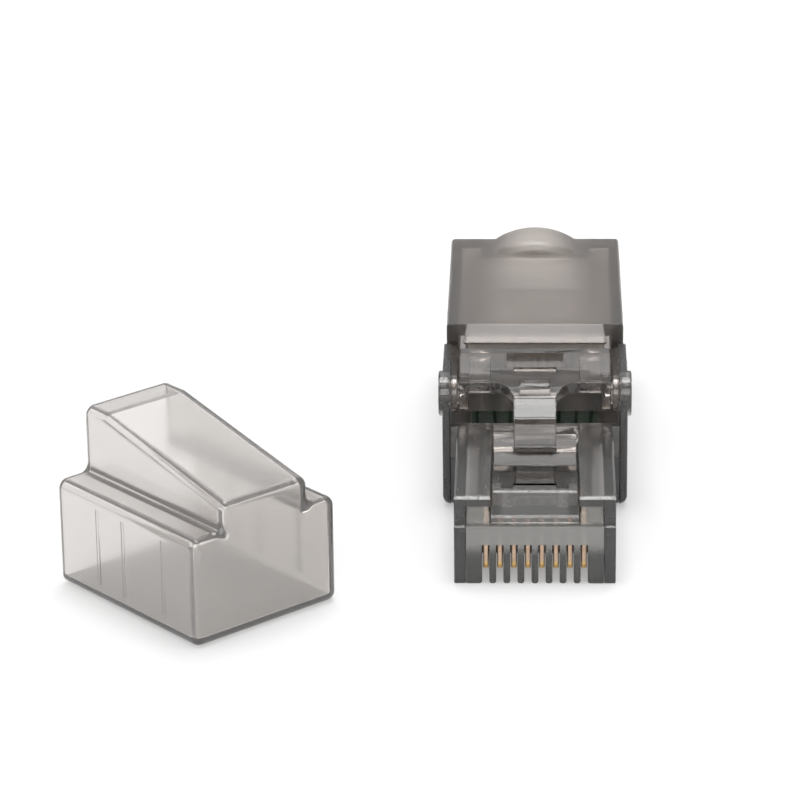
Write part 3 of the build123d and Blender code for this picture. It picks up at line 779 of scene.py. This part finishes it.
class PlugStageSettings(PropertyGroup):
    """Camera, lights, room and floor"""

    lens: FloatProperty(name="Lens", description="The camera's focal length in millimetres", default=180.0)
    camera_place: FloatVectorProperty(
        name="Camera", description="Where the camera stands", default=(0.0, -0.2652, 0.117),
        subtype="TRANSLATION",
    )
    camera_down: FloatProperty(
        name="Looks down", description="How far the camera looks down", default=radians(21.18),
        subtype="ANGLE",
    )
    camera_left: FloatProperty(
        name="Looks left", description="How far the camera is turned to the left", default=radians(1.932),
        subtype="ANGLE",
    )
    top_light: FloatProperty(
        name="Top light", description="Power of the softbox overhead", default=1.25, unit="POWER"
    )
    back_light: FloatProperty(
        name="Back light", description="Power of the wide softbox behind", default=0.56, unit="POWER"
    )
    front_light: FloatProperty(
        name="Front light", description="Power of the softbox over the camera", default=1.1, unit="POWER"
    )
    side_light: FloatProperty(
        name="Side lights", description="Power of each softbox at the sides", default=0.15, unit="POWER"
    )
    ambient: FloatProperty(
        name="Ambient", description="Strength of the even light from the room", default=0.45
    )
    upper_room: FloatProperty(
        name="Upper room", description="How bright gloss shows the room above the horizon", default=0.36
    )
    upper_clear: FloatProperty(
        name="Upper room seen through plastic",
        description="How bright the room above the horizon is through clear plastic", default=0.72,
    )
    floor_lift: FloatProperty(
        name="Shadow lift", description="How much light the floor gives by itself", default=0.3
    )
    floor_colour: StringProperty(name="Floor", description="Colour of the floor as seen", default="#cbcbcb")
    paper_colour: StringProperty(
        name="Paper", description="Colour of the floor for the light that it throws back", default="#f7f7f7"
    )


# Operators


class PLUG_OT_smoky_pieces(Operator):
    """Finish the moulded smoky pieces: housing, contact carrier, latch, release lever and rear cover"""

    bl_idname = "plug.smoky_pieces"
    bl_label = "Smoky pieces"

    def execute(self, context):
        settings = context.scene.plug_finish
        smoke, edge_round = settings.smoke_density, settings.edge_round
        # The scuffed material carries painted highlights on the nose's top edges and painted light on the
        # latch root; the blasted one carries painted light on the cover's dome and face
        handled = smoky_plastic(
            "polished_smoky_polycarbonate_scuffed_painted_highlights", "#dad8d6", density=smoke, clear=0.95, scuffs=0.3,
            ripple=0.25, polished=0.06, matt=0.28, worn=0.11, haze=front_painted_light,
        )
        blasted = smoky_plastic(
            "blasted_smoky_polycarbonate_painted_light", "#e3dad3", density=0.72 * smoke, clear=0.95, scuffs=0.0,
            ripple=0.3, polished=0.12, matt=0.34, haze=rear_painted_light,
        )
        clean_look = {
            "colour": "#e0d9d4", "density": smoke, "clear": 0.965, "scuffs": 0.1, "ripple": 0.15,
            "polished": 0.05, "matt": 0.14,
        }
        clean = smoky_plastic("polished_smoky_polycarbonate", **clean_look)
        bent = smoky_plastic("polished_smoky_polycarbonate_bent", **clean_look, relief=tongue_crown)
        finish_node("housing", handled, edge_round)
        finish_node("rear_cover", blasted, edge_round)
        finish_node("contact_carrier", milky_comb(smoke), 0.7 * edge_round)
        finish_node("latch_arm", clean, edge_round)
        finish_node("release_lever", bent, edge_round)
        return {"FINISHED"}


class PLUG_OT_wire_pieces(Operator):
    """Finish the terminal block, the wire manager and the forked terminals"""

    bl_idname = "plug.wire_pieces"
    bl_label = "Wire pieces"

    def execute(self, context):
        settings = context.scene.plug_finish
        smoke, edge_round = settings.smoke_density, 0.6 * settings.edge_round
        tinted = smoky_plastic(
            "moulded_plain_polycarbonate", "#dcd8d5", density=0.4 * smoke, clear=0.8, scuffs=0.0,
            ripple=0.4, polished=0.2, matt=0.3,
        )
        milky = smoky_plastic(
            "filled_milky_polycarbonate", "#e4ddd6", density=0.3 * smoke, clear=0.45, scuffs=0.0,
            ripple=0.4, polished=0.35, matt=0.5,
        )
        finish_node("terminal_block", tinted, edge_round, settings.seating_gap)
        finish_node("wire_manager", milky, edge_round, settings.seating_gap)
        tinned = plated_metal("bright_tin_over_phosphor_bronze", "#d8d5cf", "#b9b3a8", smooth=0.22, rough=0.4)
        for name in TERMINAL_NAMES:
            finish_node(name, tinned, settings.metal_round)
        return {"FINISHED"}


class PLUG_OT_contacts(Operator):
    """Finish the eight contacts"""

    bl_idname = "plug.contacts"
    bl_label = "Contacts"

    def execute(self, context):
        plated = gold_plated_bronze()
        for name in CONTACT_NAMES:
            finish_node(name, plated, context.scene.plug_finish.metal_round)
        return {"FINISHED"}


class PLUG_OT_board(Operator):
    """Finish the circuit board and add its pads, tracks, plated holes and solder"""

    bl_idname = "plug.board"
    bl_label = "Circuit board"

    # Radii of a solder joint from its tip up to the board, and how far below the board each one lies
    JOINT_RADII = np.array((0.12, 0.2, 0.28, 0.5)) * MILLIMETRE
    JOINT_DROPS = np.array((0.55, 0.5, 0.25, 0.02)) * MILLIMETRE

    def execute(self, context):
        settings = context.scene.plug_board
        finish_node("circuit_board", masked_laminate(), context.scene.plug_finish.metal_round)
        top, under = BOARD_HIGH[2], BOARD_LOW[2]
        copper, ring, segments = settings.copper_height, settings.ring_radius, settings.segments
        pad_size = (settings.pad_width, settings.pad_length)
        pad_y = BOARD_LOW[1] + settings.pad_length / 2 + settings.pad_margin
        track_start = pad_y + settings.pad_length / 2 - settings.track_overlap
        contact_boxes = [np.array(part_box(name)) for name in CONTACT_NAMES]
        terminal_boxes = [np.array(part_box(name)) for name in TERMINAL_NAMES]
        pads, tracks, joints = [], [], []
        for contact, terminal in zip(contact_boxes, terminal_boxes):
            pad_x = contact[:, 0].mean()
            foot = terminal.mean(axis=0)
            pads.append(pad_shape((pad_x, pad_y), pad_size, top - copper, top + copper, segments))
            ring_heights = (under - copper, under, under + copper)
            pads.append(turned_shape(foot, (ring, ring, 0.9 * ring), ring_heights, segments))
            tracks.append(
                track_shape(
                    (pad_x, track_start), foot, settings.track_margin, settings.track_width, top - copper,
                    top + copper, settings.track_steps,
                )
            )
            joints.append(turned_shape(foot, self.JOINT_RADII, under - self.JOINT_DROPS, segments))
        gold = plated_metal("immersion_gold_pads", "#e3b45f", "#c99846", smooth=0.2, rough=0.35)
        add_piece("board_pads", pads, gold, "plug")
        masked = plated_metal("copper_track_under_mask", "#2f4a3a", "#26402f", smooth=0.35, rough=0.5)
        add_piece("board_tracks", tracks, masked, "plug")
        solder = plated_metal("reflowed_solder", "#cfcfcc", "#b4b4b0", smooth=0.15, rough=0.3)
        add_piece("solder_joints", joints, solder, "plug")
        return {"FINISHED"}


class PLUG_OT_window_heads(Operator):
    """Add the milky heads of the contact carrier that show in the nose's two windows"""

    bl_idname = "plug.window_heads"
    bl_label = "Window heads"

    def execute(self, context):
        settings = context.scene.plug_heads
        heads = [
            pad_shape(
                (middle, settings.behind), (settings.width, settings.length), settings.foot, settings.top,
                settings.segments, settings.squareness,
            )
            for middle in (-settings.beside, settings.beside)
        ]
        milk = smoky_plastic(
            "milky_polycarbonate_head", MILK_COLOUR, density=settings.density, clear=0.84, scuffs=0.0,
            ripple=0.3, polished=0.12, matt=0.12,
        )
        add_piece("carrier_heads", heads, milk, "plug")
        return {"FINISHED"}


class PLUG_OT_dust_cap(Operator):
    """Finish the frosted dust cap"""

    bl_idname = "plug.dust_cap"
    bl_label = "Dust cap"

    def execute(self, context):
        settings = context.scene.plug_finish
        finish_node("dust_cap", frosted_plastic(settings.cap_density), settings.edge_round)
        return {"FINISHED"}


class PLUG_OT_stage(Operator):
    """Set the pale floor, the white room, the softboxes and the camera"""

    bl_idname = "plug.stage"
    bl_label = "Stage"

    # In metres, apart from the sensor, which Blender measures in millimetres as it does the lens
    FLOOR_HALF = 1.5
    FLOOR_DROP = 0.01 * MILLIMETRE
    NEAREST_SEEN = 10 * MILLIMETRE
    SENSOR_WIDTH = 36

    def execute(self, context):
        settings = context.scene.plug_stage
        self.lay_floor(context.scene, settings)
        self.light_room(context.scene, settings)
        self.hang_softboxes(context.scene, settings)
        self.place_camera(context.scene, settings)
        context.scene.view_settings.view_transform = "Standard"
        return {"FINISHED"}

    def place_camera(self, scene, settings):
        """The camera in front of the plug and above it, at the photograph's viewing angle."""
        camera = bpy.data.cameras.new("camera")
        camera.lens = settings.lens
        camera.sensor_width = self.SENSOR_WIDTH
        camera.clip_start = self.NEAREST_SEEN
        view = bpy.data.objects.new("camera", camera)
        view.location = settings.camera_place
        view.rotation_mode = "ZYX"
        view.rotation_euler = (radians(90) - settings.camera_down, settings.camera_left, 0)
        scene.collection.objects.link(view)
        scene.camera = view

    def looked_at(self, tree, rays):
        """One for the rays that look at the stage: the camera's, gloss's and clear plastic's."""
        straight = add_node(
            tree, "ShaderNodeMath", {"operation": "MAXIMUM"},
            {0: rays.outputs["Is Camera Ray"], 1: rays.outputs["Is Glossy Ray"]},
        )
        seen = add_node(
            tree, "ShaderNodeMath", {"operation": "MAXIMUM"},
            {0: straight.outputs["Value"], 1: rays.outputs["Is Transmission Ray"]},
        )
        return seen.outputs["Value"]

    def lay_floor(self, scene, settings):
        """A wide flat sheet under the part; what looks at it sees it lit up, so shadows stay light."""
        reach = np.linspace(-self.FLOOR_HALF, self.FLOOR_HALF, 3)
        x, y = np.meshgrid(reach, reach)
        sheet = grid_shape(np.stack([x, y, 0 * x - self.FLOOR_DROP], axis=-1), closed=False)
        material, tree = new_material("white_paper_sweep")
        seen = self.looked_at(tree, add_node(tree, "ShaderNodeLightPath"))
        lift = add_node(
            tree, "ShaderNodeMath", {"operation": "MULTIPLY", 1: settings.floor_lift}, {0: seen}
        )
        paper = add_node(
            tree, "ShaderNodeMix",
            {
                "data_type": "RGBA", MIX_FIRST: linear(settings.paper_colour),
                MIX_SECOND: linear(settings.floor_colour),
            },
            {0: seen},
        )
        surface = add_node(
            tree, "ShaderNodeBsdfPrincipled",
            {"Roughness": 0.9, "Specular IOR Level": 0.0, "Emission Color": WHITE},
            {"Base Color": paper.outputs[MIX_OUT], "Emission Strength": lift.outputs["Value"]},
        )
        add_node(tree, "ShaderNodeOutputMaterial", {}, {"Surface": surface.outputs["BSDF"]})
        mesh = smooth_mesh("floor", [sheet])
        mesh.materials.append(material)
        floor = bpy.data.objects.new("floor", mesh)
        scene.collection.objects.link(floor)

    def light_room(self, scene, settings):
        """A room that is white for the camera and lights the part evenly with a dimmer light.

        Gloss and clear plastic show it white up to the horizon, and dimmed above.
        """
        world = bpy.data.worlds.new("white_room")
        world.use_nodes = True
        tree = world.node_tree
        tree.nodes.clear()
        rays = add_node(tree, "ShaderNodeLightPath")
        even = add_node(tree, "ShaderNodeBackground", {"Color": WHITE, "Strength": settings.ambient})
        way = add_node(tree, "ShaderNodeTexCoord").outputs["Generated"]
        height = add_node(tree, "ShaderNodeSeparateXYZ", {}, {"Vector": way}).outputs["Z"]
        over_horizon = {"From Min": 0.06, "From Max": 0.2, "To Min": 1.0}
        dimmed = add_node(
            tree, "ShaderNodeMapRange", over_horizon | {"To Max": settings.upper_room}, {"Value": height}
        )
        through = add_node(
            tree, "ShaderNodeMapRange", over_horizon | {"To Max": settings.upper_clear}, {"Value": height}
        )
        clear = add_node(
            tree, "ShaderNodeMath", {"operation": "MULTIPLY"},
            {0: through.outputs["Result"], 1: rays.outputs["Is Transmission Ray"]},
        )
        shown = add_node(
            tree, "ShaderNodeMath", {"operation": "MAXIMUM"},
            {0: clear.outputs["Value"], 1: rays.outputs["Is Camera Ray"]},
        )
        strength = add_node(
            tree, "ShaderNodeMath", {"operation": "MAXIMUM"},
            {0: dimmed.outputs["Result"], 1: shown.outputs["Value"]},
        )
        white = add_node(
            tree, "ShaderNodeBackground", {"Color": WHITE}, {"Strength": strength.outputs["Value"]}
        )
        mix = add_node(
            tree, "ShaderNodeMixShader", {},
            {0: self.looked_at(tree, rays), 1: even.outputs["Background"], 2: white.outputs["Background"]},
        )
        add_node(tree, "ShaderNodeOutputWorld", {}, {"Surface": mix.outputs["Shader"]})
        scene.world = world

    def hang_softboxes(self, scene, settings):
        """One softbox overhead, a wide one behind, one over the camera and one at each side."""
        # Each one's name, place, turn in degrees, size and power
        boxes = (
            ("softbox_top", (0.0, 0.055, 0.46), (0, 0, 0), (0.21, 0.27), settings.top_light),
            ("softbox_back", (0.0, 0.355, 0.366), (-43, 0, 0), (0.5, 0.34), settings.back_light),
            ("softbox_front", (0.0, -0.45, 0.25), (61, 0, 0), (0.4, 0.3), settings.front_light),
            ("softbox_left", (-0.4, -0.1, 0.25), (0, -60, 0), (0.3, 0.3), settings.side_light),
            ("softbox_right", (0.4, -0.1, 0.25), (0, 60, 0), (0.3, 0.3), settings.side_light),
        )
        for name, place, turn, size, power in boxes:
            light = bpy.data.lights.new(name, "AREA")
            light.shape = "RECTANGLE"
            light.size, light.size_y = size
            light.energy = power
            lamp = bpy.data.objects.new(name, light)
            lamp.location = place
            lamp.rotation_euler = [radians(angle) for angle in turn]
            scene.collection.objects.link(lamp)


class PLUG_PT_panel(Panel):
    """The sidebar panel that lists the pieces and the stage"""

    bl_idname = "PLUG_PT_panel"
    bl_label = "Modular plug"
    bl_space_type = "VIEW_3D"
    bl_region_type = "UI"
    bl_category = "Plug"

    def draw(self, context):
        for group_name in SETTINGS:
            group = getattr(context.scene, group_name)
            for name in group.__annotations__:
                self.layout.prop(group, name)
        for operator in OPERATORS:
            self.layout.operator(operator.bl_idname)


SETTINGS = {
    "plug_finish": PlugFinishSettings,
    "plug_board": PlugBoardSettings,
    "plug_heads": PlugHeadSettings,
    "plug_stage": PlugStageSettings,
}
OPERATORS = (
    PLUG_OT_smoky_pieces,
    PLUG_OT_wire_pieces,
    PLUG_OT_contacts,
    PLUG_OT_board,
    PLUG_OT_window_heads,
    PLUG_OT_dust_cap,
    PLUG_OT_stage,
)
CLASSES = (*SETTINGS.values(), *OPERATORS, PLUG_PT_panel)


def register():
    """Register the settings, the operators and the panel."""
    for item in CLASSES:
        bpy.utils.register_class(item)
    for name, group in SETTINGS.items():
        setattr(bpy.types.Scene, name, PointerProperty(type=group))


def unregister():
    """Take the settings, the operators and the panel away again."""
    for name in SETTINGS:
        delattr(bpy.types.Scene, name)
    for item in reversed(CLASSES):
        bpy.utils.unregister_class(item)


def main():
    """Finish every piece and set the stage."""
    register()
    bpy.ops.plug.smoky_pieces()
    bpy.ops.plug.wire_pieces()
    bpy.ops.plug.contacts()
    bpy.ops.plug.board()
    bpy.ops.plug.window_heads()
    bpy.ops.plug.dust_cap()
    bpy.ops.plug.stage()


if __name__ == "__main__":
    main()
